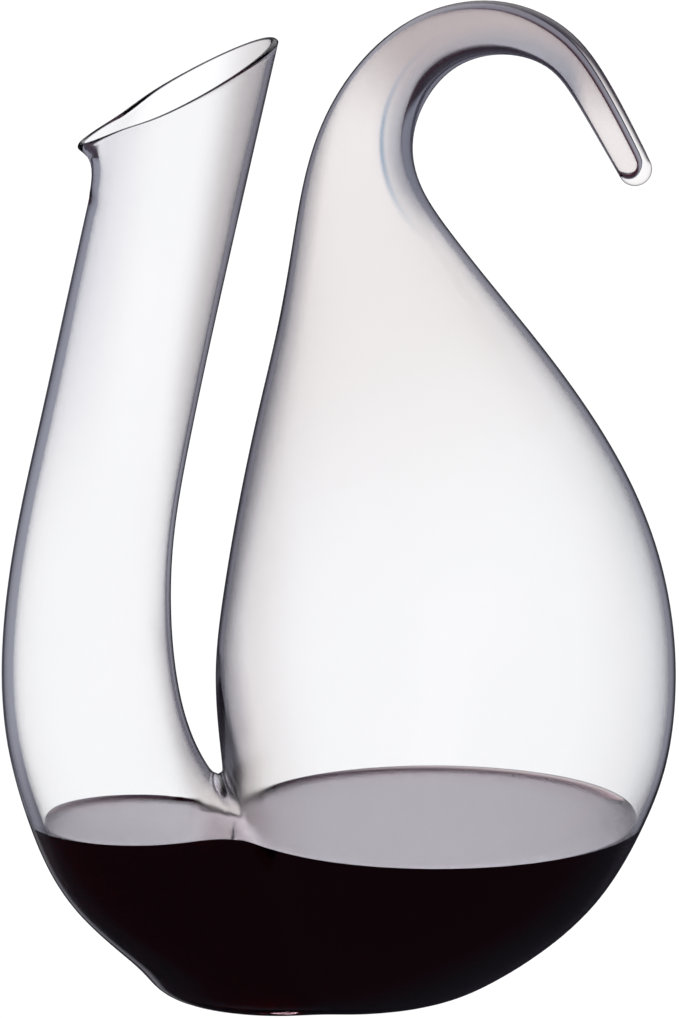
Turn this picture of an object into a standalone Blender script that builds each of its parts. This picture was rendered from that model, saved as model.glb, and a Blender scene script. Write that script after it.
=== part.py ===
"""Swan-shaped wine decanter: a pouring neck and a closed bulb with a hooked tail share one bowl.

Metres, +Z up. The origin is on the table inside the flat of the base, between the middle of
that flat and the middle of the whole width. +X runs from the pouring neck towards the tail,
and the whole object mirrors across the plane y = 0.
"""
import math

import bmesh
import bpy
from mathutils import Vector

MM = 0.001
UNIT = 1.02 * MM            # one unit of the outline below: it makes the fill about one 750 ml bottle
GAP = 0.3 * MM              # space left between neighbouring pieces
SEGMENTS = 36               # points round every blown section
ROWS_PER_SPAN = 2           # rows made between two neighbouring stations

WALL_BULB = 2.6 * MM
WALL_NECK = 2.6 * MM
WALL_MOUTH = 2.2 * MM
WALL_TAIL = 1.5 * MM
BASE_THICKNESS = 3.0 * MM
HEEL = 1.5 * MM             # the base rounds up into the wall above this height

WINE_LEVEL = 57.5 * UNIT    # height of the wine's surface
BOWL_TOP = 61.0 * UNIT      # seam between the bowl and what stands on it
WELD_TOP = 84.0 * UNIT      # the weld climbs this far up both walls of the slit
WELD_LEFT = -45.0 * UNIT
WELD_RIGHT = -21.0 * UNIT
CROTCH_TOP = 71.5 * UNIT    # bottom of the slit between neck and bulb
CROTCH_X = -31.5 * UNIT
WELD_RADIUS = 3.4 * MM      # thickness of the bead of glass along the bottom of the slit
WELD_HALF = 27.0 * UNIT     # how far the bead runs to the front and to the back
WELD_DROP = 18.2 * UNIT     # how far its ends lie below its middle
WELD_POINTS = 14            # points round the bead
TAIL_SEAM = 262.0 * UNIT    # seam between the bulb and the hollow tail
LIP_HEIGHT = 9.0 * MM       # depth of the pouring lip, square to the mouth

# Each station is one round section: x and z of its centre, its lean from level, its radius.
# Units and degrees, from below the table plane upwards.
BULB = (
    (2.0, -2.5, 0.0, 13.0),
    (4.0, 0.0, 0.0, 25.0),
    (9.0, 2.0, 0.0, 36.5),
    (14.6, 8.0, 0.0, 45.3),
    (20.6, 17.5, 0.0, 53.6),
    (27.0, 31.0, 0.0, 62.0),
    (36.0, 57.5, 0.0, 69.3),
    (39.3, 72.0, 0.0, 71.7),
    (40.2, 84.0, 0.0, 73.6),
    (40.4, 108.0, 0.0, 75.1),
    (40.4, 132.0, 0.0, 72.8),
    (38.1, 165.0, 0.0, 65.0),
    (32.2, 198.0, 0.0, 52.2),
    (25.2, 225.0, 0.0, 39.2),
    (18.2, 248.0, 0.0, 28.2),
    (13.5, 266.0, 0.0, 20.5),
    (14.3, 285.5, 11.0, 15.4),
    (22.6, 303.8, 31.0, 12.4),
    (39.1, 318.3, 60.0, 10.1),
    (59.6, 321.6, 90.0, 8.5),
    (77.5, 313.8, 120.0, 6.9),
    (87.0, 301.6, 143.0, 6.3),
    (94.5, 288.2, 152.0, 6.0),
    (99.6, 278.6, 153.0, 5.7),
)
NECK = (
    (-10.0, -2.5, 0.0, 16.0),
    (-12.5, 0.0, 0.0, 28.0),
    (-15.0, 2.0, 0.0, 36.5),
    (-18.6, 8.0, 0.0, 40.0),
    (-27.4, 17.5, 0.0, 41.2),
    (-41.0, 31.0, 0.0, 41.0),
    (-58.4, 57.5, 0.0, 37.2),
    (-67.0, 72.0, 1.0, 33.2),
    (-71.8, 84.0, 1.5, 31.0),
    (-75.8, 106.0, 2.5, 28.8),
    (-76.1, 131.0, 5.0, 27.0),
    (-73.0, 160.0, 9.5, 25.3),
    (-67.2, 190.0, 11.8, 24.5),
    (-60.4, 222.0, 12.5, 24.3),
    (-51.8, 261.0, 12.5, 24.3),
)
MOUTH_RADIUS = 24.5 * UNIT
MOUTH_TILT = 28.2                 # degrees the mouth is cut off level
MOUTH_HIGH = (-14.6, 317.7)       # units, the high end of the mouth
SPOUT_PULL = 9.0 * UNIT           # how far the lip is drawn out, in the plane of the mouth
SPOUT_SPREAD = 34.0               # degrees of the rim that the spout takes to each side
SPOUT_DEPTH = 6.5 * MM            # how far down the neck the pull fades out
TIP_STUB = 4.4 * UNIT             # the solid end of the tail: a short stub, then a round end
TIP_ROUND = 5.4 * UNIT
TIP_TAPER = 0.97
MOUTH_ROWS = (0.0, 0.35, 0.62, 0.8, 0.9, 0.96, 1.0)


def clear_scene():
    for obj in list(bpy.data.objects):
        bpy.data.objects.remove(obj)


def collection(name, hidden=False):
    made = bpy.data.collections.new(name)
    made.hide_render = hidden
    bpy.context.scene.collection.children.link(made)
    return made


def mesh_object(name, bm, where):
    bmesh.ops.recalc_face_normals(bm, faces=bm.faces)
    mesh = bpy.data.meshes.new(name)
    bm.to_mesh(mesh)
    bm.free()
    obj = bpy.data.objects.new(name, mesh)
    where.objects.link(obj)
    return obj


def between(a, b, c, d, t):
    """Catmull-Rom value between b and c."""
    bend = (2 * a - 5 * b + 4 * c - d) * t * t + (3 * b - a - 3 * c + d) * t ** 3
    return 0.5 * (2 * b + (c - a) * t + bend)


def rows_through(stations):
    """Smooth rows through the stations, as centre x, z, lean in radians and radius, in metres."""
    table = [(x * UNIT, z * UNIT, math.radians(lean), r * UNIT) for x, z, lean, r in stations]
    first = [2 * p - q for p, q in zip(table[0], table[1])]
    last = [2 * p - q for p, q in zip(table[-1], table[-2])]
    table = [first] + table + [last]
    rows = []
    for i in range(1, len(table) - 2):
        for step in range(ROWS_PER_SPAN):
            t = step / ROWS_PER_SPAN
            rows.append([between(*(table[i + k][j] for k in (-1, 0, 1, 2)), t) for j in range(4)])
    rows.append(list(table[-2]))
    return rows


def rails_of(rows):
    """The left and right outline of the rows, in the plane y = 0."""
    left, right = [], []
    for x, z, lean, r in rows:
        across = Vector((math.cos(lean), 0, -math.sin(lean)))
        centre = Vector((x, 0, z))
        left.append(centre - across * r)
        right.append(centre + across * r)
    return left, right


def moved_in(rail, side, walls):
    """A rail moved square to itself, towards the inside of the tube."""
    moved = []
    for i, point in enumerate(rail):
        before = rail[max(i - 1, 0)]
        after = rail[min(i + 1, len(rail) - 1)]
        along = (after - before).normalized()
        moved.append(point + Vector((along.z, 0, -along.x)) * side * walls[i])
    return moved


def inner_rows(rows, walls):
    """The rows of the surface that lies inside by the wall thickness, from the heel up."""
    left, right = rails_of(rows)
    left = moved_in(left, 1, walls)
    right = moved_in(right, -1, walls)
    first = sum(row[1] < HEEL for row in rows)
    left, right = left[first:], right[first:]
    inner = []
    for a, b in zip(left, right):
        span = b - a
        inner.append([(a.x + b.x) / 2, (a.z + b.z) / 2, math.atan2(-span.z, span.x), span.length / 2])
    return inner


def ring_of(row):
    x, z, lean, r = row
    across = Vector((math.cos(lean), 0, -math.sin(lean)))
    ring = []
    for i in range(SEGMENTS):
        angle = 2 * math.pi * i / SEGMENTS
        ring.append(Vector((x, 0, z)) + across * r * math.cos(angle) + Vector((0, r * math.sin(angle), 0)))
    return ring


def loft(name, rings, where):
    """One closed body through rings of equal count, with a flat cap on each end."""
    bm = bmesh.new()
    made = [[bm.verts.new(point) for point in ring] for ring in rings]
    for low, high in zip(made, made[1:]):
        for i in range(len(low)):
            j = (i + 1) % len(low)
            bm.faces.new((low[i], low[j], high[j], high[i]))
    bm.faces.new(list(reversed(made[0])))
    bm.faces.new(made[-1])
    return mesh_object(name, bm, where)


def mouth_point(angle, share, r, beyond):
    """A point of the straight top of the neck: share 0 is its foot and 1 is the mouth."""
    x, z, lean, _ = NECK[-1]
    lean = math.radians(lean)
    tilt = math.radians(MOUTH_TILT)
    axis = Vector((math.sin(lean), 0, math.cos(lean)))
    across = Vector((math.cos(lean), 0, -math.sin(lean)))
    foot = Vector((x * UNIT, r * math.sin(angle), z * UNIT)) + across * r * math.cos(angle)
    up = Vector((-math.sin(tilt), 0, math.cos(tilt)))
    high = Vector((MOUTH_HIGH[0] * UNIT, 0, MOUTH_HIGH[1] * UNIT))
    reach = (high - foot).dot(up) / axis.dot(up)
    point = foot + axis * reach * share
    depth = reach * (1 - share)
    off = math.degrees(abs(math.pi - angle))
    fade = math.exp(-((depth / SPOUT_DEPTH) ** 1.2))
    pull = SPOUT_PULL * math.exp(-((off / SPOUT_SPREAD) ** 2)) * fade
    point -= Vector((math.cos(tilt), 0, math.sin(tilt))) * pull
    return point + up * beyond


def mouth_rings(r_foot, r_mouth, beyond):
    rings = []
    for share in MOUTH_ROWS[1:]:
        r = r_foot + (r_mouth - r_foot) * share
        angles = [2 * math.pi * i / SEGMENTS for i in range(SEGMENTS)]
        rings.append([mouth_point(angle, share, r, beyond * share) for angle in angles])
    return rings


def wall_list(rows, wall, end_wall):
    """Wall thickness row by row: even, then thinning along the last third."""
    count = len(rows)
    walls = []
    for i in range(count):
        share = max(0.0, (i / (count - 1) - 0.62) / 0.38)
        walls.append(wall + (end_wall - wall) * share)
    return walls


def bulb_body(name, inset, where):
    rows = rows_through(BULB)
    if inset is not None:
        walls = [wall + inset for wall in wall_list(rows, WALL_BULB, WALL_TAIL)]
        rows = inner_rows(rows, walls)
        x, z, lean, r = rows[-1]
        run = 4 * MM
        rows.append([x + math.sin(lean) * run, z + math.cos(lean) * run, lean, r])
    return loft(name, [ring_of(row) for row in rows], where)


def neck_body(name, inset, where):
    rows = rows_through(NECK)
    foot, mouth, beyond = rows[-1][3], MOUTH_RADIUS, 0.0
    if inset is not None:
        rows = inner_rows(rows, [WALL_NECK + inset] * len(rows))
        foot -= WALL_NECK + inset
        mouth -= WALL_MOUTH + inset
        beyond = 3 * MM
        rows[-1] = [NECK[-1][0] * UNIT, NECK[-1][1] * UNIT, math.radians(NECK[-1][2]), foot]
    return loft(name, [ring_of(row) for row in rows] + mouth_rings(foot, mouth, beyond), where)


def prism(name, outline, where, half=0.2):
    """A block through y with this outline in x and z."""
    bm = bmesh.new()
    near = [bm.verts.new((x, -half, z)) for x, z in outline]
    far = [bm.verts.new((x, half, z)) for x, z in outline]
    bm.faces.new(near)
    bm.faces.new(list(reversed(far)))
    for i in range(len(near)):
        j = (i + 1) % len(near)
        bm.faces.new((near[j], near[i], far[i], far[j]))
    return mesh_object(name, bm, where)


def block(name, x0, x1, z0, z1, where):
    return prism(name, [(x0, z0), (x1, z0), (x1, z1), (x0, z1)], where)


def boolean(obj, operation, other):
    made = obj.modifiers.new(operation.lower() + "_" + other.name, "BOOLEAN")
    made.operation = operation
    made.solver = "EXACT"
    made.object = other


def baked(obj, name, where):
    """A new object that holds this one's mesh with its modifiers applied."""
    bpy.context.view_layer.update()
    graph = bpy.context.evaluated_depsgraph_get()
    mesh = bpy.data.meshes.new_from_object(obj.evaluated_get(graph))
    mesh.name = name
    made = bpy.data.objects.new(name, mesh)
    where.objects.link(made)
    return made


def weld_bead(tools):
    """The thick bead of glass that follows the bottom of the slit, as an arch from front to back."""
    rings = []
    for i in range(-6, 7):
        share = i / 6
        drop = WELD_DROP * share ** 2
        at = Vector((CROTCH_X + 0.19 * drop, WELD_HALF * share, CROTCH_TOP - drop))
        out = Vector((0, 2 * WELD_DROP * share, WELD_HALF)).normalized()
        r = WELD_RADIUS * (1 - 0.5 * share ** 2)
        ring = []
        for k in range(WELD_POINTS):
            angle = 2 * math.pi * k / WELD_POINTS
            ring.append(at + Vector((1, 0, 0)) * r * 1.3 * math.cos(angle) + out * r * math.sin(angle))
        rings.append(ring)
    return loft("weld_bead", rings, tools)


def glass_body(tools):
    """The whole glass in one body: two blown branches joined, less the two cavities."""
    outer = bulb_body("bulb_outside", None, tools)
    boolean(outer, "UNION", neck_body("neck_outside", None, tools))
    boolean(outer, "UNION", weld_bead(tools))
    boolean(outer, "INTERSECT", block("above_table", -0.3, 0.3, 0.0, 0.5, tools))
    outer = baked(outer, "outside", tools)
    cavity = cavity_body("cavity", 0.0, BASE_THICKNESS, 0.5, tools)
    boolean(outer, "DIFFERENCE", cavity)
    return baked(outer, "glass_whole", tools)


def cavity_body(name, inset, floor, top, tools):
    """What the glass encloses, between two heights and clear of it by the inset."""
    inner = bulb_body(name + "_bulb", inset, tools)
    boolean(inner, "UNION", neck_body(name + "_neck", inset, tools))
    boolean(inner, "INTERSECT", block(name + "_limits", -0.3, 0.3, floor, top, tools))
    return baked(inner, name, tools)


def piece(name, whole, where, keep=(), drop=()):
    """Part of the whole glass: inside every block to keep, and outside every block to drop."""
    obj = bpy.data.objects.new(name, whole.data.copy())
    where.objects.link(obj)
    for other in keep:
        boolean(obj, "INTERSECT", other)
    for other in drop:
        boolean(obj, "DIFFERENCE", other)
    return obj


def mouth_slab(name, below, tools):
    """Everything above a plane that lies this far under the mouth, on the neck's side."""
    tilt = math.radians(MOUTH_TILT)
    along = (math.cos(tilt), math.sin(tilt))
    foot_x = MOUTH_HIGH[0] * UNIT + math.sin(tilt) * below
    foot_z = MOUTH_HIGH[1] * UNIT - math.cos(tilt) * below
    ends = [(foot_x + along[0] * run, foot_z + along[1] * run) for run in (-0.12, 0.012)]
    return prism(name, ends + [(ends[1][0], 0.4), (ends[0][0], 0.4)], tools)


def neck_side(tools):
    """The side of the slit that the neck stands on, up to the top of the object."""
    slit = [(-37.0, 40.0), (-37.0, 85.0), (-40.0, 110.0), (-27.0, 215.0), (-4.0, 330.0)]
    outline = [(x * UNIT, z * UNIT) for x, z in slit]
    return prism("neck_side", outline + [(-0.2, 0.34), (-0.2, 0.04)], tools)


def tail_tip(where):
    """The solid bead that closes the tail, a round end on a short stub."""
    x, z, lean, r = BULB[-1]
    lean = math.radians(lean)
    axis = Vector((math.sin(lean), 0, math.cos(lean)))
    centre = Vector((x * UNIT, 0, z * UNIT))
    rings = []
    for run, share in ((GAP, 1.0), (TIP_STUB, TIP_TAPER)):
        at = centre + axis * run
        rings.append(ring_of([at.x, at.z, lean, r * UNIT * share]))
    for i in range(1, 6):
        angle = math.radians(15 * i)
        at = centre + axis * (TIP_STUB + TIP_ROUND * math.sin(angle))
        rings.append(ring_of([at.x, at.z, lean, r * UNIT * TIP_TAPER * math.cos(angle)]))
    return loft("tail_tip", rings, where)


def material(name, colour, rough, transmission, ior):
    made = bpy.data.materials.new(name)
    made.use_nodes = True
    node = made.node_tree.nodes["Principled BSDF"]
    node.inputs["Base Color"].default_value = (*colour, 1)
    node.inputs["Roughness"].default_value = rough
    node.inputs["Transmission Weight"].default_value = transmission
    node.inputs["IOR"].default_value = ior
    made.diffuse_color = (*colour, 1)
    return made


def build():
    clear_scene()
    parts = collection("wine_decanter")
    tools = collection("cutters", hidden=True)

    whole = glass_body(tools)
    far = 0.3
    below_seam = block("below_seam", -far, far, -0.1, BOWL_TOP, tools)
    to_seam = block("to_seam", -far, far, -0.1, BOWL_TOP + GAP, tools)
    weld_zone = block("weld_zone", WELD_LEFT, WELD_RIGHT, BOWL_TOP + GAP, WELD_TOP, tools)
    round_weld = block("round_weld", WELD_LEFT - GAP, WELD_RIGHT + GAP, 0.0, WELD_TOP + GAP, tools)
    above_tail_seam = block("above_tail_seam", -0.04, far, TAIL_SEAM + GAP, 0.5, tools)
    to_tail_seam = block("to_tail_seam", -0.04, far, TAIL_SEAM, 0.5, tools)
    left_side = neck_side(tools)
    lip_zone = mouth_slab("lip_zone", LIP_HEIGHT, tools)
    round_lip = mouth_slab("round_lip", LIP_HEIGHT + GAP, tools)

    glass = [
        piece("bowl", whole, parts, keep=[below_seam]),
        piece("crotch_weld", whole, parts, keep=[weld_zone]),
        piece("pouring_neck", whole, parts, keep=[left_side], drop=[to_seam, round_weld, round_lip]),
        piece("pouring_lip", whole, parts, keep=[left_side, lip_zone]),
        piece("bulb", whole, parts, drop=[left_side, to_seam, round_weld, to_tail_seam]),
        piece("tail", whole, parts, keep=[above_tail_seam], drop=[left_side]),
        tail_tip(parts),
    ]
    wine = cavity_body("wine_fill", GAP, BASE_THICKNESS + GAP, WINE_LEVEL, tools)
    wine = piece("wine", wine, parts)

    for obj in glass:
        obj.data.materials.clear()
        obj.data.materials.append(material(obj.name + "_glass", (0.93, 0.95, 0.96), 0.02, 1.0, 1.52))
    wine.data.materials.clear()
    wine.data.materials.append(material("red_wine", (0.09, 0.005, 0.015), 0.04, 0.0, 1.35))
    for obj in tools.objects:
        obj.display_type = "WIRE"
        obj.hide_render = True


build()
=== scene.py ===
"""Looks for the swan-shaped wine decanter: one continuous skin of blown glass with red wine in it.

The glass is two round branches, the pouring neck and the bulb with its hooked tail, that melt
into one bowl. Each skin, outer and inner, is meshed in three sleeves that meet at the wine's
level and along an arch under the slit. Lengths are in metres, in the CAD's own frame.
"""

import math

import bmesh
import bpy
import numpy as np
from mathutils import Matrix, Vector


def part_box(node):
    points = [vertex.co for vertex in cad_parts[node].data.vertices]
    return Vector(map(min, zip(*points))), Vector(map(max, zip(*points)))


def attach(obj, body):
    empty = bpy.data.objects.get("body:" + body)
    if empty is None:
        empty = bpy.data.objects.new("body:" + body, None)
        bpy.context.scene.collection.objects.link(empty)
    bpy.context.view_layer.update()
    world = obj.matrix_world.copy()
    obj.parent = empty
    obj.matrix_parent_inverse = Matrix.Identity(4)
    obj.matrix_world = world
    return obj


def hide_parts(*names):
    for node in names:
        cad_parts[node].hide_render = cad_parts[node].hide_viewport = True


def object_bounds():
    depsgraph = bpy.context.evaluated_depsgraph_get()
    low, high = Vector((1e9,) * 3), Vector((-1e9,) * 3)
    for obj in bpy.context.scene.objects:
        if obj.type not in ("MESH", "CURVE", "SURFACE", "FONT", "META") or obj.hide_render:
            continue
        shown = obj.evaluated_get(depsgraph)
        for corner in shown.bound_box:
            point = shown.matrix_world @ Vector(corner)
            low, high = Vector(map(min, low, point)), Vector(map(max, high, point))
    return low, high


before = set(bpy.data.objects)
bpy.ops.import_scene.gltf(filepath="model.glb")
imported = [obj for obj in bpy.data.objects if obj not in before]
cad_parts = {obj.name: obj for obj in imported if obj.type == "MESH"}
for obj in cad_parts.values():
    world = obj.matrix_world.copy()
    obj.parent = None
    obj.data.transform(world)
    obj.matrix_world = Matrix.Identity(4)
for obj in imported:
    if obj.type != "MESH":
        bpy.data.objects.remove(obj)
cad_low, cad_high = [list(corner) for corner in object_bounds()]

MM = 0.001
UNIT = (cad_high[2] - cad_low[2]) / 330.3     # the outline below is 330.3 units high
WINE_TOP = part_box("wine")[1].z

# One round section a row, in units and degrees: centre x, centre z, lean from level, radius.
BULB = (
    (2.0, -2.5, 0.0, 13.0),
    (4.0, 0.0, 0.0, 25.0),
    (9.0, 2.0, 0.0, 36.5),
    (14.6, 8.0, 0.0, 45.3),
    (20.6, 17.5, 0.0, 53.6),
    (27.0, 31.0, 0.0, 62.0),
    (36.0, 57.5, 0.0, 69.3),
    (39.3, 72.0, 0.0, 71.7),
    (40.2, 84.0, 0.0, 73.6),
    (40.4, 108.0, 0.0, 75.1),
    (40.4, 132.0, 0.0, 72.8),
    (38.1, 165.0, 0.0, 65.0),
    (32.2, 198.0, 0.0, 52.2),
    (25.2, 225.0, 0.0, 39.2),
    (18.2, 248.0, 0.0, 28.2),
    (13.5, 266.0, 0.0, 20.5),
    (14.3, 285.5, 11.0, 15.4),
    (22.6, 303.8, 31.0, 12.4),
    (39.1, 318.3, 60.0, 10.1),
    (59.6, 321.6, 90.0, 8.5),
    (77.5, 313.8, 120.0, 6.9),
    (87.0, 301.6, 143.0, 6.3),
    (94.5, 288.2, 152.0, 6.0),
    (99.6, 278.6, 153.0, 5.7),
)
NECK = (
    (-10.0, -2.5, 0.0, 16.0),
    (-12.5, 0.0, 0.0, 28.0),
    (-15.0, 2.0, 0.0, 36.5),
    (-18.6, 8.0, 0.0, 40.0),
    (-27.4, 17.5, 0.0, 41.2),
    (-41.0, 31.0, 0.0, 41.0),
    (-58.4, 57.5, 0.0, 37.2),
    (-67.0, 72.0, 1.0, 33.2),
    (-71.8, 84.0, 1.5, 31.0),
    (-75.8, 106.0, 2.5, 28.8),
    (-76.1, 131.0, 5.0, 27.0),
    (-73.0, 160.0, 9.5, 25.3),
    (-67.2, 190.0, 11.8, 24.5),
    (-60.4, 222.0, 12.5, 24.3),
    (-51.8, 261.0, 12.5, 24.3),
)
NECK_FOOT_LEAN = math.radians(12.5)
MOUTH_TILT = math.radians(28.2)
MOUTH_HIGH = np.array([-14.6, 0.0, 317.7]) * UNIT
MOUTH_RADIUS = 24.5 * UNIT
SPOUT_PULL = 9.0 * UNIT
SPOUT_SPREAD = math.radians(27)
SPOUT_FADE = 7.0 * MM           # how far down the neck the lip fades out
SPOUT_PINCH = 0.2               # how much the rim narrows beside the lip
PINCH_AT, PINCH_SPREAD = math.radians(36), math.radians(20)

WALL = 2.6 * MM
WALL_MOUTH = 2.1 * MM
BASE = 3.0 * MM
# Wall thickness of the left and the right side, as (share of the length, thickness). The neck's
# outer side is thicker; in the hooked tail glass gathers first inside and then outside the bend.
NECK_WALLS = (
    ((0, WALL), (0.3, 3.6 * MM), (0.8, 3.3 * MM), (1, WALL)),
    ((0, WALL), (0.3, 2.3 * MM), (0.8, 1.9 * MM), (1, WALL_MOUTH)),
)
BULB_WALL = 2.1 * MM
BULB_FOOT_WALLS = ((0, WALL), (0.26, BULB_WALL), (0.55, BULB_WALL))
BULB_WALLS = (
    BULB_FOOT_WALLS + ((0.7, 1.6 * MM), (0.8, 1.8 * MM), (0.89, 3.9 * MM), (1, 3.4 * MM)),
    BULB_FOOT_WALLS + ((0.66, 2.4 * MM), (0.76, 4.4 * MM), (0.89, 1.7 * MM), (1, 1.1 * MM)),
)
# How softly the two branches melt together at the foot, the waist and the crotch. The inner
# skin melts more, so that the wall stays thin down in the valley between them.
OUTER_BLENDS = (5 * MM, 18 * MM, 3 * MM)
INNER_BLENDS = (5 * MM, 24 * MM, 7 * MM)
BLEND_FULL = 45.0 * UNIT        # softest from here
BLEND_FROM = 56.0 * UNIT        # to here
BLEND_TO = 80.0 * UNIT          # and tight from here up
WELD_THICK = 2.0 * UNIT         # most that the weld adds to the bulb's wall beside the slit
WELD_WIDTH = 16.0 * UNIT
WELD_FOOT, WELD_FULL = 57.0 * UNIT, 74.0 * UNIT
WELD_FADE = 16.0 * UNIT

WINE_BITE = 0.12 * MM           # the wine's mesh reaches this far into the glass
MENISCUS = 1.6 * MM             # how far the wine climbs the wall
MENISCUS_REACH = 1.8 * MM       # how fast that dies away from the wall

# The closed end of the tail: a straight stub, the rounding past it, and the share of the radius
# that is left where the rounding starts.
OUTER_TIP = (4.4 * UNIT, 5.4 * UNIT, 0.97)
INNER_TIP = (1.4 * UNIT, 4.6 * UNIT, 0.97)

SLEEVE_TOP = 112.0 * UNIT       # above this each branch is round and on its own
LEFT_COLUMNS, RIGHT_COLUMNS, ARCH_COLUMNS = 60, 92, 36
SLEEVE_ROWS = 44
WALL_ROWS = 26
NECK_STEP, BULB_STEP = 3.5 * MM, 2.6 * MM       # between the rings of the round tubes
HEEL_ROWS = (1.6, 1.2, 0.85, 0.6, 0.4, 0.25, 0.13, 0.05, 0.0)      # shares of the heel's rounding


# ------------------------------------------------------------ outline of the two branches

def cubic(knots, values, at):
    """Natural cubic spline through the values at the knots, read at many places."""
    n = len(knots)
    h = np.diff(knots)
    left = np.eye(n)
    right = np.zeros_like(values)
    for i in range(1, n - 1):
        left[i, i - 1:i + 2] = h[i - 1], 2 * (h[i - 1] + h[i]), h[i]
        right[i] = 6 * ((values[i + 1] - values[i]) / h[i] - (values[i] - values[i - 1]) / h[i - 1])
    bend = np.linalg.solve(left, right)
    i = np.clip(np.searchsorted(knots, at) - 1, 0, n - 2)
    a = ((knots[i + 1] - at) / h[i])[:, None]
    b = 1 - a
    step = h[i][:, None]
    even = a * values[i] + b * values[i + 1]
    return even + ((a ** 3 - a) * bend[i] + (b ** 3 - b) * bend[i + 1]) * step ** 2 / 6


class Branch:
    """A tube of round sections, read anywhere along its length. t runs from 0 to 1."""

    def __init__(self, rows):
        self.rows = rows
        self.t = np.linspace(0, 1, len(rows))
        self.rise = np.gradient(rows[:, 1], self.t)
        low = rows[:, 1] < 150 * UNIT
        first_high = np.argmin(low) if not low.all() else len(low)
        self.low = slice(0, first_high)

    def at(self, t):
        return [np.interp(t, self.t, self.rows[:, k]) for k in range(4)]

    def t_at_height(self, z):
        return np.interp(z, self.rows[self.low, 1], self.t[self.low])

    def place(self, t, angle, r=None):
        x, z, lean, radius = self.at(t)
        r = radius if r is None else r
        across = r * np.cos(angle)
        return np.stack([x + across * np.cos(lean), r * np.sin(angle), z - across * np.sin(lean)], -1)

    def local(self, p):
        """t, the offset across and the radius there, low down where the lean is small."""
        t = self.t_at_height(p[..., 2])
        for _ in range(4):
            x, z, lean, r = self.at(t)
            ahead = (p[..., 0] - x) * np.sin(lean) + (p[..., 2] - z) * np.cos(lean)
            t = t + ahead / np.interp(t, self.t, self.rise)
        x, z, lean, r = self.at(t)
        across = (p[..., 0] - x) * np.cos(lean) - (p[..., 2] - z) * np.sin(lean)
        return t, across, r

    def reach(self, p):
        """How far outside the tube a point is, square to its axis; negative inside."""
        _, across, r = self.local(p)
        return np.hypot(across, p[..., 1]) - r


def rows_through(stations, count=1500):
    table = np.array(stations, float) * [UNIT, UNIT, math.pi / 180, UNIT]
    step = np.hypot(np.diff(table[:, 0]), np.diff(table[:, 1])) + 0.5 * np.abs(np.diff(table[:, 3]))
    step = step + 0.01 * np.abs(np.diff(table[:, 2]))
    knots = np.concatenate([[0], np.cumsum(step)])
    return cubic(knots, table, np.linspace(0, knots[-1], count))


def moved_in(rows, walls_left, walls_right):
    """The rows whose left and right outlines lie inside by these walls, square to the outline."""
    across = np.stack([np.cos(rows[:, 2]), -np.sin(rows[:, 2])], -1)
    centre = rows[:, :2]
    moved = []
    for side, walls in ((-1, walls_left), (1, walls_right)):
        rail = centre + side * across * rows[:, 3:4]
        along = np.gradient(rail, axis=0)
        along /= np.linalg.norm(along, axis=1)[:, None]
        square = np.stack([along[:, 1], -along[:, 0]], -1)
        moved.append(rail - side * square * walls[:, None])
    left, right = moved
    span = right - left
    middle = (left + right) / 2
    lean = np.unwrap(np.arctan2(-span[:, 1], span[:, 0]))
    return np.column_stack([middle, lean, np.linalg.norm(span, axis=1) / 2])


def soft_min(a, b, k):
    h = np.clip(k - np.abs(a - b), 0, None) / k
    return np.minimum(a, b) - h * h * k / 4


def smooth(x):
    x = np.clip(x, 0, 1)
    return x * x * (3 - 2 * x)


def weld_share(p):
    """Where the weld's clear wedge thickens the bulb's wall beside the slit, 0 to 1."""
    z = p[..., 2]
    up = smooth((z - WELD_FOOT) / (WELD_FULL - WELD_FOOT))
    up = up * np.exp(-(np.clip(z - WELD_FULL, 0, None) / WELD_FADE) ** 1.3)
    round_side = np.exp(-(p[..., 1] / WELD_WIDTH) ** 2)
    return up * round_side * (p[..., 0] < 0)


class Skin:
    """One surface of the glass: where the two branches melt together over a flat floor."""

    def __init__(self, neck, bulb, floor, floor_round, blends, weld=0.0):
        self.neck, self.bulb, self.floor, self.weld = neck, bulb, floor, weld
        self.floor_round, self.blends = floor_round, blends

    def blend(self, z):
        """How softly the branches melt together: most at the waist, little at foot and crotch."""
        foot, waist, crotch = self.blends
        swell = (waist - foot) * smooth(z / BLEND_FULL)
        pinch = (waist - crotch) * smooth((z - BLEND_FROM) / (BLEND_TO - BLEND_FROM))
        return foot + swell - pinch

    def reach(self, p):
        bulb = self.bulb.reach(p) + self.weld * weld_share(p)
        body = soft_min(self.neck.reach(p), bulb, self.blend(p[..., 2]))
        return -soft_min(-body, p[..., 2] - self.floor, self.floor_round)

    def hit(self, start, ray, far=0.16, steps=90):
        """The first place where a ray from inside leaves the skin."""
        start, ray = np.broadcast_arrays(start, ray)
        runs = np.linspace(0, far, steps)
        p = start[None] + runs[:, None, None] * ray[None]
        outside = self.reach(p) > 0
        outside[-1] = True
        first = np.argmax(outside, axis=0)
        high = runs[np.maximum(first, 1)]
        low = runs[np.maximum(first - 1, 0)]
        for _ in range(22):
            middle = (low + high) / 2
            out = self.reach(start + middle[:, None] * ray) > 0
            high = np.where(out, middle, high)
            low = np.where(out, low, middle)
        return start + high[:, None] * ray


# ------------------------------------------------------------ meshing a skin in three sleeves

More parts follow.
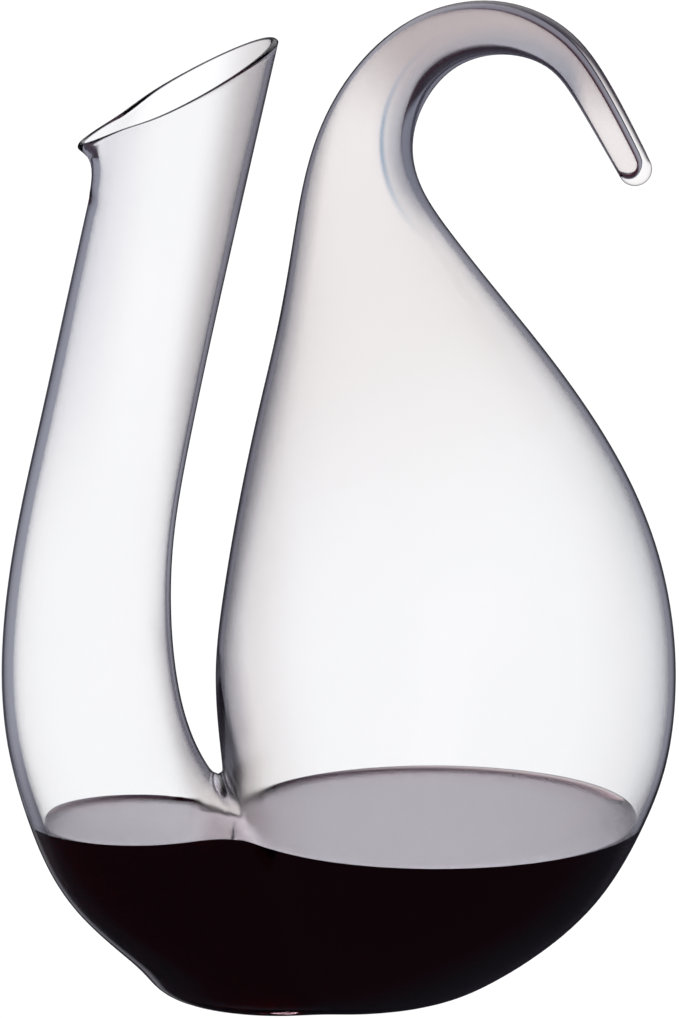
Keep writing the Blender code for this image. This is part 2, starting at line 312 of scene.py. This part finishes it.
def arch_under_slit(skin, level):
    """Points of the valley between the branches, from its front over the crotch to its back."""
    xs = np.linspace(-44, -12, 65) * UNIT
    points = []
    for angle in np.linspace(0, math.pi, ARCH_COLUMNS + 1):
        ray = np.array([0.0, -math.cos(angle), math.sin(angle)])
        start = np.stack([xs, 0 * xs, 0 * xs + level], -1)
        hits = skin.hit(start, ray[None], far=0.06)
        reach = np.linalg.norm(hits - start, axis=1)
        i = int(np.clip(np.argmin(reach), 1, len(xs) - 2))
        a, b, c = reach[i - 1:i + 2]
        shift = 0.5 * (a - c) / max(a - 2 * b + c, 1e-12)
        x = xs[i] + np.clip(shift, -1, 1) * (xs[1] - xs[0])
        points.append(skin.hit(np.array([[x, 0, level]]), ray[None], far=0.06)[0])
    return np.array(points)


def arc_round(skin, centre, first, last, turn, count):
    """Points of the skin's outline at one level, from first round to last, as seen from a centre."""
    a = math.atan2(first[1] - centre[1], first[0] - centre[0])
    b = math.atan2(last[1] - centre[1], last[0] - centre[0])
    while (b - a) * turn < 0:
        b += 2 * math.pi * turn
    angles = np.linspace(a, b, count + 1)
    rays = np.stack([np.cos(angles), np.sin(angles), 0 * angles], -1)
    return skin.hit(np.array(centre)[None], rays)


def sleeve(skin, branch, ring, even, top_t, rows):
    """Rings above a first closed ring, up to one at these even angles round the branch at top_t."""
    t0, across, _ = branch.local(ring)
    angle0 = np.unwrap(np.arctan2(ring[:, 1], across))
    angle0 += 2 * math.pi * np.round((even.mean() - angle0.mean()) / (2 * math.pi))
    rings = []
    for share in np.linspace(0, 1, rows + 1)[1:]:
        ease = smooth(share)
        angle = angle0 + (even - angle0) * ease
        t = t0 + (top_t - t0) * share
        start = branch.place(t, angle, 0 * t)
        ray = branch.place(t, angle, 0 * t + 1.0) - start
        rings.append(skin.hit(start, ray))
    return rings


def bowl_rings(skin, ring, level):
    """Rings from the outline at the wine's level down the wall, round the heel and in over the floor."""
    waist = np.array([-25.0 * UNIT, 0.0, 0.0])
    foot = np.array([-6.0 * UNIT, 0.0, 0.0])
    angle0 = np.unwrap(np.arctan2(ring[:, 1], ring[:, 0] - waist[0]))
    turn = np.sign(angle0[-1] - angle0[0])
    even = angle0[0] + turn * 2 * math.pi * np.arange(len(ring)) / len(ring)
    heel = skin.floor + skin.floor_round * np.array(HEEL_ROWS)
    wall = heel[0] + (level - heel[0]) * np.linspace(1, 0, WALL_ROWS + 1) ** 1.25
    heights = np.concatenate([wall[1:-1], heel])
    rings = []
    for i, z in enumerate(heights):
        share = smooth((i + 1) / len(heights))
        centre = waist + (foot - waist) * share + np.array([0, 0, z])
        angle = angle0 + (even - angle0) * share
        ray = np.stack([np.cos(angle), np.sin(angle), 0 * angle], -1)
        rings.append(skin.hit(centre[None], ray))
    pole = foot + np.array([0, 0, skin.floor])
    edge = rings[-1]
    edge[:, 2] = skin.floor
    rings += [pole + (edge - pole) * share for share in np.linspace(1, 0, 10)[1:-1]]
    return rings, pole


class Mesh:
    """Collects rings of points and the quads between them."""

    def __init__(self):
        self.points, self.faces = [], []

    def add(self, points):
        first = len(self.points)
        self.points.extend(np.asarray(points).reshape(-1, 3).tolist())
        return list(range(first, len(self.points)))

    def band(self, a, b):
        n = len(a)
        for i in range(n):
            j = (i + 1) % n
            self.faces.append((a[i], a[j], b[j], b[i]))

    def fan(self, a, point):
        tip = self.add([point])[0]
        for i in range(len(a)):
            self.faces.append((a[i], a[(i + 1) % len(a)], tip))

    def rings(self, first, rings):
        """Bands through more rings from a ring already added; gives the last ring back."""
        for ring in rings:
            made = self.add(ring)
            self.band(first, made)
            first = made
        return first


def even_angles(first, count):
    return first + 2 * math.pi * np.arange(count) / count


class Outline:
    """The closed rings where the sleeves of one skin meet, added to a mesh once and shared."""

    def __init__(self, mesh, skin, level):
        arch = arch_under_slit(skin, level)
        front, back = arch[0], arch[-1]
        neck_middle = [skin.neck.at(skin.neck.t_at_height(level))[0], 0.0, level]
        bulb_middle = [skin.bulb.at(skin.bulb.t_at_height(level))[0], 0.0, level]
        left = arc_round(skin, neck_middle, back, front, 1, LEFT_COLUMNS)
        right = arc_round(skin, bulb_middle, front, back, 1, RIGHT_COLUMNS)
        left[0], left[-1], right[0], right[-1] = back, front, front, back
        left_at = mesh.add(left)
        right_at = left_at[-1:] + mesh.add(right[1:-1]) + left_at[:1]
        arch_at = left_at[-1:] + mesh.add(arch[1:-1]) + left_at[:1]
        self.neck = (np.vstack([left[:-1], arch[:-1]]), left_at[:-1] + arch_at[:-1])
        self.bulb = (np.vstack([right[:-1], arch[::-1][:-1]]), right_at[:-1] + arch_at[::-1][:-1])
        self.bowl = (np.vstack([left[:-1], right[:-1]]), left_at[:-1] + right_at[:-1])


def mouth_rings(angles, r_foot, r_mouth, shares):
    """Rings over the straight top of the neck, the last one in the plane of the mouth."""
    x, z = NECK[-1][0] * UNIT, NECK[-1][1] * UNIT
    lean = NECK_FOOT_LEAN
    axis = np.array([math.sin(lean), 0, math.cos(lean)])
    across = np.array([math.cos(lean), 0, -math.sin(lean)])
    up = np.array([-math.sin(MOUTH_TILT), 0, math.cos(MOUTH_TILT)])
    out = np.array([-math.cos(MOUTH_TILT), 0, -math.sin(MOUTH_TILT)])
    off = np.abs((angles % (2 * math.pi)) - math.pi)
    rings = []
    for share in shares:
        r = r_foot + (r_mouth - r_foot) * share
        foot = np.array([x, 0, z]) + r * np.cos(angles)[:, None] * across
        foot[:, 1] += r * np.sin(angles)
        reach = ((MOUTH_HIGH - foot) @ up) / (axis @ up)
        depth = reach * (1 - share)
        fade = np.exp(-(depth / SPOUT_FADE) ** 1.2)
        pinch = SPOUT_PINCH * np.exp(-((off - PINCH_AT) / PINCH_SPREAD) ** 2) * fade
        foot[:, 1] *= 1 - pinch
        pull = SPOUT_PULL * np.exp(-(off / SPOUT_SPREAD) ** 2) * fade
        rings.append(foot + (reach * share)[:, None] * axis + pull[:, None] * out)
    return rings


def tube_rings(branch, angles, first, step):
    """Even rings along a branch from t = first to its end."""
    run = np.concatenate([[0], np.cumsum(np.linalg.norm(np.diff(branch.rows[:, :2], axis=0), axis=1))])
    start = np.interp(first, branch.t, run)
    stops = np.linspace(start, run[-1], max(int((run[-1] - start) / step), 2))[1:]
    return [branch.place(t + 0 * angles, angles) for t in np.interp(stops, run, branch.t)]


def tip_rings(branch, angles, stub, cap, shrink, count=9):
    """A short stub and a rounded end past the last section; gives the rings and the end point."""
    x, z, lean, r = branch.rows[-1]
    axis = np.array([math.sin(lean), 0, math.cos(lean)])
    across = np.array([math.cos(lean), 0, -math.sin(lean)])
    rings = []
    for run, share in [(stub * k / 3, 1 - (1 - shrink) * k / 3) for k in (1, 2, 3)] + [
            (stub + cap * math.sin(a), shrink * math.cos(a))
            for a in np.linspace(0, math.pi / 2, count + 1)[1:-1]]:
        centre = np.array([x, 0, z]) + axis * run
        ring = centre + r * share * np.cos(angles)[:, None] * across
        ring[:, 1] += r * share * np.sin(angles)
        rings.append(ring)
    return rings, np.array([x, 0, z]) + axis * (stub + cap)


def wall_profile(rows, stops, ease=81):
    """Wall thickness along a branch from (share of the length, thickness) stops, then eased."""
    shares, walls = zip(*stops)
    walls = np.interp(np.linspace(0, 1, len(rows)), shares, walls)
    kernel = np.hanning(ease)
    padded = np.pad(walls, ease // 2, mode="edge")
    return np.convolve(padded, kernel / kernel.sum(), mode="same")[ease // 2:-(ease // 2)]


def make_skins():
    neck_rows, bulb_rows = rows_through(NECK), rows_through(BULB)
    outer = Skin(Branch(neck_rows), Branch(bulb_rows), 0.0, 2 * MM, OUTER_BLENDS)
    neck_in = moved_in(neck_rows, *[wall_profile(neck_rows, stops) for stops in NECK_WALLS])
    bulb_in = moved_in(bulb_rows, *[wall_profile(bulb_rows, stops) for stops in BULB_WALLS])
    inner = Skin(Branch(neck_in), Branch(bulb_in), BASE, 4 * MM, INNER_BLENDS, WELD_THICK)
    return outer, inner


def glass_skin(mesh, skin, foot_r, mouth_r, tip):
    """Meshes a skin from the floor to the mouth and to the end of the tail; gives the mouth ring."""
    outline = Outline(mesh, skin, WINE_TOP)
    ring, at = outline.bowl
    rings, pole = bowl_rings(skin, ring, WINE_TOP)
    mesh.fan(mesh.rings(at, rings), pole)

    ring, at = outline.neck
    angles = even_angles(math.pi * ARCH_COLUMNS / len(ring), len(ring))
    top = float(skin.neck.t_at_height(SLEEVE_TOP))
    last = mesh.rings(at, sleeve(skin, skin.neck, ring, angles, top, SLEEVE_ROWS))
    last = mesh.rings(last, tube_rings(skin.neck, angles, top, NECK_STEP))
    shares = np.concatenate([np.linspace(0, 0.72, 8)[1:], np.linspace(0.72, 1, 14)[1:]])
    mouth = mouth_rings(angles, foot_r, mouth_r, shares)
    lip = mesh.rings(last, mouth)

    ring, at = outline.bulb
    angles = even_angles(-math.pi + math.pi * ARCH_COLUMNS / len(ring), len(ring))
    top = float(skin.bulb.t_at_height(SLEEVE_TOP))
    end = mesh.rings(at, sleeve(skin, skin.bulb, ring, angles, top, SLEEVE_ROWS))
    end = mesh.rings(end, tube_rings(skin.bulb, angles, top, BULB_STEP))
    rings, point = tip_rings(skin.bulb, angles, *tip)
    mesh.fan(mesh.rings(end, rings), point)
    return lip, mouth[-1]


def rim_rings(outside, inside, count=7):
    """The fire-polished rim: a round bead over the edge between the two skins."""
    up = np.array([-math.sin(MOUTH_TILT), 0, math.cos(MOUTH_TILT)])
    middle = (outside + inside) / 2
    half = outside - middle
    high = np.linalg.norm(half, axis=1)[:, None] * up
    angles = np.linspace(0, math.pi, count + 2)[1:-1]
    return [middle + half * math.cos(a) + high * math.sin(a) for a in angles]


def mesh_object(name, mesh, material):
    data = bpy.data.meshes.new(name)
    data.from_pydata(mesh.points, [], mesh.faces)
    data.update()
    data.validate()
    bm = bmesh.new()
    bm.from_mesh(data)
    bmesh.ops.recalc_face_normals(bm, faces=bm.faces)
    bm.to_mesh(data)
    bm.free()
    data.shade_smooth()
    obj = bpy.data.objects.new(name, data)
    bpy.context.scene.collection.objects.link(obj)
    data.materials.append(material)
    return obj


def build_glass(outer, inner, material):
    mesh = Mesh()
    foot = NECK[-1][3] * UNIT
    outside, outside_ring = glass_skin(mesh, outer, foot, MOUTH_RADIUS, OUTER_TIP)
    inner_foot = inner.neck.rows[-1, 3]
    inner_mouth = MOUTH_RADIUS - WALL_MOUTH
    inside, inside_ring = glass_skin(mesh, inner, inner_foot, inner_mouth, INNER_TIP)
    last = mesh.rings(outside, rim_rings(outside_ring, inside_ring))
    mesh.band(last, inside)
    return mesh_object("decanter_glass", mesh, material)


def square_to(ring):
    """Level directions square to a closed outline, pointing out of it."""
    along = np.roll(ring, -1, axis=0) - np.roll(ring, 1, axis=0)
    out = np.stack([along[:, 1], -along[:, 0], 0 * along[:, 0]], -1)
    return out / np.linalg.norm(out, axis=1)[:, None]


def build_wine(inner, material):
    """The wine fills the bowl a hair into the glass, and climbs the wall as a meniscus."""
    mesh = Mesh()
    ring, _ = Outline(Mesh(), inner, WINE_TOP).bowl
    out = square_to(ring)
    bite = WINE_BITE * out

    def wall_at(height):
        """The wall this far above the flat surface, searched for across the wall."""
        start = ring - 6 * MM * out
        start[:, 2] += height
        return inner.hit(start, out, far=14 * MM)

    rings, pole = bowl_rings(inner, ring, WINE_TOP)
    middle = np.array([-10.0 * UNIT, 0, WINE_TOP])
    sunk = [r + WINE_BITE * (r - middle) / np.linalg.norm(r - middle, axis=1)[:, None] for r in rings]
    base = mesh.add(ring + bite)
    mesh.fan(mesh.rings(base, sunk), pole - np.array([0, 0, WINE_BITE]))

    climbs = [MENISCUS * share for share in (0.25, 0.5, 0.75, 0.92, 1.0)]
    last = mesh.rings(base, [wall_at(climb) + bite for climb in climbs])
    surface = []
    for inset in np.array([0.1, 0.35, 0.7, 1.2, 1.9, 2.8, 4.0, 5.6]) * MM:
        surface.append(wall_at(MENISCUS * math.exp(-inset / MENISCUS_REACH)) - out * inset)
    rim = surface[-1]
    centre = np.array([-25.0 * UNIT, 0, WINE_TOP])
    for share in np.linspace(0, 1, 12)[1:-1]:
        level_ring = centre + (rim - centre) * (1 - share)
        level_ring[:, 2] = WINE_TOP + (rim[:, 2] - WINE_TOP) * (1 - share) ** 6
        surface.append(level_ring)
    mesh.fan(mesh.rings(last, surface), centre)
    return mesh_object("red_wine_fill", mesh, material)


# ------------------------------------------------------------ materials

class Nodes:
    """Small helpers to write a shader as sums and steps."""

    def __init__(self, tree):
        self.tree = tree

    def new(self, kind, **values):
        node = self.tree.nodes.new(kind)
        for name, value in values.items():
            setattr(node, name, value)
        return node

    def feed(self, socket, value):
        if isinstance(value, (int, float)):
            socket.default_value = value
        elif isinstance(value, tuple):
            socket.default_value = (*value, 1.0)
        else:
            self.tree.links.new(value, socket)

    def math(self, operation, a, b=0.0):
        node = self.new("ShaderNodeMath", operation=operation)
        self.feed(node.inputs[0], a)
        self.feed(node.inputs[1], b)
        return node.outputs[0]

    def step(self, value, low, high, start=0.0, end=1.0):
        """A smooth step from start at low to end at high."""
        node = self.new("ShaderNodeMapRange", interpolation_type="SMOOTHSTEP")
        self.feed(node.inputs["Value"], value)
        for name, number in (("From Min", low), ("From Max", high), ("To Min", start), ("To Max", end)):
            node.inputs[name].default_value = number
        return node.outputs[0]

    def bump(self, value, low, middle, high):
        """1 at the middle, 0 outside low and high."""
        return self.math("MULTIPLY", self.step(value, low, middle), self.step(value, middle, high, 1.0, 0.0))

    def noise(self, scale, detail, where, distortion=0.0):
        node = self.new("ShaderNodeTexNoise")
        for name, number in (("Scale", scale), ("Detail", detail), ("Distortion", distortion)):
            node.inputs[name].default_value = number
        self.feed(node.inputs["Vector"], where)
        return node.outputs["Fac"]

    def mix(self, share, a, b):
        node = self.new("ShaderNodeMix", data_type="RGBA")
        self.feed(node.inputs[0], share)
        self.feed(node.inputs[6], a)
        self.feed(node.inputs[7], b)
        return node.outputs[2]


def nodes_of(name):
    made = bpy.data.materials.new(name)
    made.use_nodes = True
    tree = made.node_tree
    return made, tree, tree.nodes["Principled BSDF"]


GLASS_IOR, WINE_IOR = 1.52, 1.34
WAVINESS = 0.006                        # strength of the fine unevenness of blown glass
WELD_ROUGH = 0.16                       # most roughness at the weld
CLEAR_LOW = (0.983, 0.987, 0.992)       # the clear glass drifts between these two
CLEAR_HIGH = (0.995, 0.996, 0.998)
WINE_RED = (0.68, 0.02, 0.07)           # what a thin layer of the wine lets through
WINE_DENSITY = 320.0
# Painted light in the glass's colour: the tints below stand for reflections and shade, not for tinted glass.
PAINTED_WARM_CAST = (0.945, 0.922, 0.918)      # painted warm cast high on the bulb, for the light seen through one wall there
PAINTED_SHADE_HOOK_TOP = (0.70, 0.655, 0.66)         # painted shade over the top of the hook
PAINTED_BEND_REFLECTION = (0.60, 0.605, 0.645)       # painted dark reflection inside the bend, where the glass gathers
PAINTED_SHADE_SLIT = (0.72, 0.70, 0.705)        # painted shade on the sides that face each other over the slit
PAINTED_SHADE_WELD = (0.87, 0.84, 0.835)        # painted shade round the bottom of the slit
PAINTED_COOL_SHADE = (0.90, 0.90, 0.925)        # painted cool shade on the neck's outer side, high up
PAINTED_BLUE_LINE = (0.46, 0.55, 0.66)          # a fine painted blue line beside the bend, a painted reflection
BEND_X, BEND_Z = 58.9 * UNIT, 283.0 * UNIT
CROTCH_X, CROTCH_Z = -31.0 * UNIT, 67.0 * UNIT


def from_slit(n, x, z):
    """Whether a point is in the bulb (1) or the neck (0), and how far inside its slit wall."""
    rise = n.math("ABSOLUTE", n.math("SUBTRACT", z, 120 * UNIT))
    middle = n.math("SUBTRACT", n.math("MULTIPLY", rise, 0.16), 41 * UNIT)
    aside = n.math("SUBTRACT", x, middle)
    half = n.step(z, 130 * UNIT, 210 * UNIT, 7 * UNIT, 11 * UNIT)
    return n.step(aside, -1 * UNIT, 1 * UNIT), n.math("SUBTRACT", n.math("ABSOLUTE", aside), half)


def away_from(n, x, z, centre_x, centre_z):
    """How far a point lies from a line across the decanter."""
    aside = n.math("ABSOLUTE", n.math("SUBTRACT", x, centre_x))
    above = n.math("ABSOLUTE", n.math("SUBTRACT", z, centre_z))
    return n.math("SQRT", n.math("ADD", n.math("POWER", aside, 2.0), n.math("POWER", above, 2.0)))


def paint_slit_shade(n, colour, x, z, drift):
    """Painted warm cast beside the slit and high on the bulb, painted shade along both sides of the slit,
    wider on the neck, and a painted cool haze on the neck's far side.
    """
    in_bulb, inward = from_slit(n, x, z)
    in_neck = n.math("SUBTRACT", 1.0, in_bulb)
    # Painted warm cast beside the slit and high on the bulb.
    beside = n.math("MULTIPLY", n.step(inward, 1 * UNIT, 30 * UNIT, 0.85, 0.0), in_bulb)
    tilted = n.math("SUBTRACT", z, n.math("MULTIPLY", x, 0.4))
    high = n.math("MULTIPLY", n.step(tilted, 130 * UNIT, 225 * UNIT), in_bulb)
    colour = n.mix(n.math("MULTIPLY", n.math("MAXIMUM", high, beside), drift), colour, PAINTED_WARM_CAST)
    # Painted shade along both sides of the slit, wider on the neck.
    slower = n.math("MULTIPLY", in_neck, n.step(z, 110 * UNIT, 220 * UNIT, 0.1, 0.42))
    inward_slow = n.math("MULTIPLY", inward, n.math("SUBTRACT", 1.0, slower))
    edge = n.step(inward_slow, -1 * UNIT, 8 * UNIT, 1.0, 0.0)
    edge = n.math("MULTIPLY", edge, n.step(z, 66 * UNIT, 84 * UNIT))
    colour = n.mix(edge, colour, PAINTED_SHADE_SLIT)
    # Painted cool shade on the neck's outer side, high up.
    far_side = n.math("MULTIPLY", n.step(inward, 24 * UNIT, 46 * UNIT), n.step(z, 140 * UNIT, 250 * UNIT))
    return n.mix(n.math("MULTIPLY", n.math("MULTIPLY", far_side, in_neck), drift), colour, PAINTED_COOL_SHADE)


def paint_hook_shade_and_reflections(n, colour, x, y, z, drift):
    """Painted shade over the top of the hook, a painted dark reflection inside its bend, and a fine painted
    blue line beside it, a painted reflection.
    """
    # Painted shade over the top of the hook.
    top = n.math("MULTIPLY", n.step(z, 286 * UNIT, 314 * UNIT), n.step(x, 0.0, 30 * UNIT))
    colour = n.mix(n.math("MULTIPLY", top, drift), colour, PAINTED_SHADE_HOOK_TOP)
    # Painted dark reflection inside the bend.
    bend = n.step(away_from(n, x, z, BEND_X, BEND_Z), 30 * UNIT, 42 * UNIT, 1.0, 0.0)
    bend = n.math("MULTIPLY", bend, n.step(z, 248 * UNIT, 276 * UNIT))
    bend = n.math("MULTIPLY", bend, n.step(x, 80 * UNIT, 87 * UNIT, 1.0, 0.0))
    colour = n.mix(bend, colour, PAINTED_BEND_REFLECTION)
    # A fine painted blue line beside the bend, a painted reflection.
    away = away_from(n, x, z, BEND_X, BEND_Z + 3.5 * UNIT)
    painted_line = n.math("MULTIPLY", n.bump(away, 39.0 * UNIT, 40.4 * UNIT, 41.6 * UNIT), n.step(y, 0.0, -3 * UNIT))
    painted_line = n.math("MULTIPLY", painted_line, n.bump(z, 250 * UNIT, 284 * UNIT, 324 * UNIT))
    return n.mix(n.math("MULTIPLY", painted_line, n.step(x, 46 * UNIT, 36 * UNIT)), colour, PAINTED_BLUE_LINE)


def painted_reflections(n, colour, where):
    """Paints reflections and shade into the clear glass's colour by place. It stands for dark surroundings
    seen in thick glass.
    """
    split = n.new("ShaderNodeSeparateXYZ")
    n.feed(split.inputs[0], where)
    x, y, z = split.outputs
    drift = n.step(n.noise(9.0, 1.0, where), 0.25, 0.75, 0.8, 1.0)
    colour = paint_slit_shade(n, colour, x, z, drift)
    colour = paint_hook_shade_and_reflections(n, colour, x, y, z, drift)
    # Painted shade round the bottom of the slit.
    weld = n.step(away_from(n, x, z, CROTCH_X, CROTCH_Z), 5 * UNIT, 17 * UNIT, 1.0, 0.0)
    return n.mix(weld, colour, PAINTED_SHADE_WELD)


def weld_roughness(n, where):
    """Rough at the bottom of the slit only, which softens what shows through the weld's folds."""
    split = n.new("ShaderNodeSeparateXYZ")
    n.feed(split.inputs[0], where)
    x, _, z = split.outputs
    near_slit = n.bump(x, -52 * UNIT, -30 * UNIT, -10 * UNIT)
    weld = n.math("MULTIPLY", n.bump(z, 58 * UNIT, 72 * UNIT, 104 * UNIT), near_slit)
    return n.math("MULTIPLY", weld, WELD_ROUGH)


def glass_material():
    made, tree, shader = nodes_of("blown_crystal")
    n = Nodes(tree)
    shader.inputs["Transmission Weight"].default_value = 1.0
    shader.inputs["IOR"].default_value = GLASS_IOR
    where = n.new("ShaderNodeTexCoord").outputs["Object"]
    n.feed(shader.inputs["Roughness"], weld_roughness(n, where))
    cloud = n.step(n.noise(14.0, 2.0, where), 0.3, 0.7)
    clear = n.mix(cloud, CLEAR_LOW, CLEAR_HIGH)
    # The base colour carries painted reflections and shade.
    n.feed(shader.inputs["Base Color"], painted_reflections(n, clear, where))
    bump = n.new("ShaderNodeBump")
    bump.inputs["Strength"].default_value = WAVINESS
    bump.inputs["Distance"].default_value = 4 * MM
    n.feed(bump.inputs["Height"], n.noise(22.0, 1.0, where, 0.6))
    n.feed(shader.inputs["Normal"], bump.outputs["Normal"])
    return made


def wine_material():
    made, tree, shader = nodes_of("red_wine_liquid")
    shader.inputs["Transmission Weight"].default_value = 1.0
    shader.inputs["IOR"].default_value = WINE_IOR
    shader.inputs["Roughness"].default_value = 0.0
    shader.inputs["Base Color"].default_value = (1, 1, 1, 1)
    volume = tree.nodes.new("ShaderNodeVolumeAbsorption")
    volume.inputs["Color"].default_value = (*WINE_RED, 1)
    volume.inputs["Density"].default_value = WINE_DENSITY
    tree.links.new(volume.outputs["Volume"], tree.nodes["Material Output"].inputs["Volume"])
    return made


# ------------------------------------------------------------ studio

BACKDROP = 1.05                         # brightness of the background and the floor
CARD = (1.13, 1.13, 1.14)               # what clear glass shows: the card, its sides, below it
CARD_SIDES = (0.22, 0.21, 0.24)
CARD_BELOW = (0.07, 0.06, 0.08)
TURNED_EDGE = (0.045, 0.047, 0.065)     # what light turned back inside a wall shows
TURNED_BAND = (0.33, 0.335, 0.40)


def build_world():
    """Soft studio light fixed to the camera: a white card behind the object, dimmer sides.

    What the glass lets through sees the card. What it reflects sees the dimmer room, so
    that each wall shows as a grey band with a dark outline, as on a table lit from behind.
    The two are told apart by the path that a ray has taken, which no real room does.
    """
    world = bpy.data.worlds.new("studio")
    bpy.context.scene.world = world
    world.use_nodes = True
    world.cycles.sampling_method = "NONE"
    tree = world.node_tree
    tree.nodes.clear()
    n = Nodes(tree)
    split = n.new("ShaderNodeSeparateXYZ")
    tree.links.new(n.new("ShaderNodeTexCoord").outputs["Camera"], split.inputs[0])
    across, up, ahead = split.outputs
    off = n.math("MULTIPLY", n.math("ARCCOSINE", ahead), 180 / math.pi)
    path = n.new("ShaderNodeLightPath")
    reflected = n.math("GREATER_THAN", path.outputs["Glossy Depth"], 0.5)
    entered = n.math("GREATER_THAN", path.outputs["Transmission Depth"], 0.5)
    crossed = n.math("GREATER_THAN", path.outputs["Transmission Depth"], 3.5)

    below = n.step(up, -0.10, -0.34)
    through = n.mix(n.step(off, 52.0, 84.0), CARD, CARD_SIDES)
    through = n.mix(n.step(up, -0.22, -0.46), through, CARD_BELOW)
    wall = n.mix(n.step(off, 7.0, 18.0), TURNED_EDGE, TURNED_BAND)
    wall = n.mix(below, wall, (0.05, 0.04, 0.055))
    wall = n.mix(n.step(off, 45.0, 75.0), wall, (0.06, 0.012, 0.022))
    central = n.step(n.math("ABSOLUTE", across), 0.3, 0.5, 1.0, 0.0)
    onward = n.step(off, 60.0, 85.0, 1.0, 0.0)
    overhead = n.math("MULTIPLY", n.math("MULTIPLY", n.step(up, 0.22, 0.40), central), onward)
    ceiling = n.math("MULTIPLY", crossed, overhead)
    inside = n.mix(ceiling, wall, (2.30, 2.20, 2.42))
    low_left = n.math("MULTIPLY", n.step(across, -0.10, -0.24), n.step(up, -0.06, -0.18))
    streak = n.math("MULTIPLY", n.bump(off, 12.0, 22.0, 34.0), low_left)
    outside = n.mix(streak, (0.022, 0.020, 0.028), (0.30, 0.30, 0.34))
    skylight = n.math("MULTIPLY", n.step(up, 0.30, 0.60), onward)
    outside = n.mix(skylight, outside, (0.95, 0.95, 0.98))
    lit = n.mix(entered, outside, inside)
    lit = n.mix(reflected, through, lit)
    lit = n.mix(path.outputs["Is Camera Ray"], lit, (BACKDROP,) * 3)

    background = n.new("ShaderNodeBackground")
    tree.links.new(lit, background.inputs["Color"])
    tree.links.new(background.outputs[0], n.new("ShaderNodeOutputWorld").inputs["Surface"])


def build_floor():
    """A plain pale floor that only the camera sees, as bright as the card."""
    data = bpy.data.meshes.new("floor")
    side = 6.0
    corners = [(x, y, -0.4 * MM) for x, y in ((-side, -side), (side, -side), (side, side), (-side, side))]
    data.from_pydata(corners, [], [(0, 1, 2, 3)])
    floor = bpy.data.objects.new("floor", data)
    bpy.context.scene.collection.objects.link(floor)
    made, tree, shader = nodes_of("pale_floor")
    tree.nodes.remove(shader)
    glow = tree.nodes.new("ShaderNodeEmission")
    glow.inputs["Color"].default_value = (1, 1, 1, 1)
    glow.inputs["Strength"].default_value = BACKDROP
    tree.links.new(glow.outputs[0], tree.nodes["Material Output"].inputs["Surface"])
    data.materials.append(made)
    floor.visible_diffuse = False
    floor.visible_glossy = False
    floor.visible_transmission = False
    floor.visible_shadow = False


AZIMUTH, ELEVATION = math.radians(-2.5), math.radians(13.2)
DISTANCE = 5000 * UNIT
VIEW_HEIGHT = 331.4 * UNIT      # what the frame's height spans at the object


def build_camera():
    data = bpy.data.cameras.new("camera")
    camera = bpy.data.objects.new("camera", data)
    bpy.context.scene.collection.objects.link(camera)
    level = math.cos(ELEVATION)
    back = Vector((math.sin(AZIMUTH) * level, -math.cos(AZIMUTH) * level, math.sin(ELEVATION)))
    aim = Vector((5.7, 0.3, 162.5)) * UNIT
    camera.location = aim + back * DISTANCE
    camera.rotation_mode = "QUATERNION"
    camera.rotation_quaternion = (-back).to_track_quat("-Z", "Y")
    data.sensor_width = 36
    data.lens = data.sensor_width * DISTANCE / VIEW_HEIGHT
    data.clip_start, data.clip_end = 0.05, 60
    bpy.context.scene.camera = camera


def settings():
    scene = bpy.context.scene
    scene.view_settings.view_transform = "Standard"
    scene.view_settings.look = "None"
    scene.cycles.max_bounces = 32
    scene.cycles.transmission_bounces = 32
    scene.cycles.glossy_bounces = 16
    scene.cycles.transparent_max_bounces = 32
    scene.cycles.caustics_refractive = True
    scene.cycles.caustics_reflective = True


outer_skin, inner_skin = make_skins()
glass = build_glass(outer_skin, inner_skin, glass_material())
wine = build_wine(inner_skin, wine_material())
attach(glass, "root")
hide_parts("bowl", "crotch_weld", "pouring_neck", "pouring_lip", "bulb", "tail", "tail_tip")
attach(wine, "root")
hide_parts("wine")
build_world()
build_floor()
build_camera()
settings()
